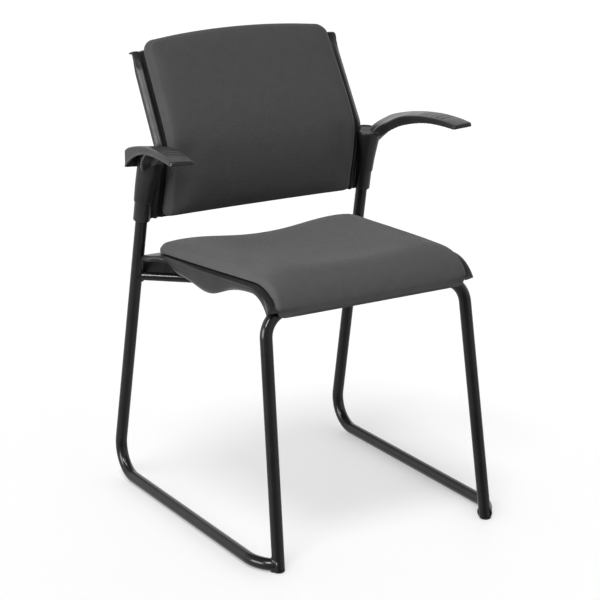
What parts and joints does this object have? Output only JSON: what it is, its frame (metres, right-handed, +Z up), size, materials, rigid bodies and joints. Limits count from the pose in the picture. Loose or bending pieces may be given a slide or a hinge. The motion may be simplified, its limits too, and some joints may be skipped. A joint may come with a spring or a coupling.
{
  "type": "sled-base armchair",
  "caption": "Fixed visitor armchair on a bent steel tube sled base, with upholstered seat and back pads on moulded shells and moulded armrests on the uprights.",
  "frame": {"origin": "on the floor, under the middle of the chair's box", "axes": "+Z up, the chair faces -Y, its left side is +X"},
  "size_m": [0.6188, 0.5585, 0.8436],
  "materials": {
    "frame_coat": "gloss black coated steel tube",
    "plastic": "matte black moulded plastic with a fine grain",
    "seat_cover": "dark grey crepe weave over foam",
    "back_cover": "dark grey crepe weave over foam",
    "plywood": "bare plywood, hidden inside the pads",
    "zinc": "zinc plated"
  },
  "bodies": {
    "root": {"side_frame_left": "frame_coat", "foot_plug_left": "plastic", "arm_left": "plastic", "arm_screw_left": "frame_coat", "side_frame_right": "frame_coat", "foot_plug_right": "plastic", "arm_right": "plastic", "arm_screw_right": "frame_coat", "front_frame": "frame_coat", "rear_cross_tube": "frame_coat", "seat_bracket_front_left": "frame_coat", "seat_bolt_front_left": "zinc", "seat_tee_nut_front_left": "zinc", "seat_bracket_front_right": "frame_coat", "seat_bolt_front_right": "zinc", "seat_tee_nut_front_right": "zinc", "seat_bracket_rear_left": "frame_coat", "seat_bolt_rear_left": "zinc", "seat_tee_nut_rear_left": "zinc", "seat_bracket_rear_right": "frame_coat", "seat_bolt_rear_right": "zinc", "seat_tee_nut_rear_right": "zinc", "seat_pan": "plastic", "seat_board": "plywood", "seat_pad": "seat_cover", "back_shell": "plastic", "back_board": "plywood", "back_bolt_low_left": "frame_coat", "back_tee_nut_low_left": "zinc", "back_bolt_low_right": "frame_coat", "back_tee_nut_low_right": "zinc", "back_bolt_high_left": "frame_coat", "back_tee_nut_high_left": "zinc", "back_bolt_high_right": "frame_coat", "back_tee_nut_high_right": "zinc", "back_pad": "back_cover"}
  },
  "joints": []
}
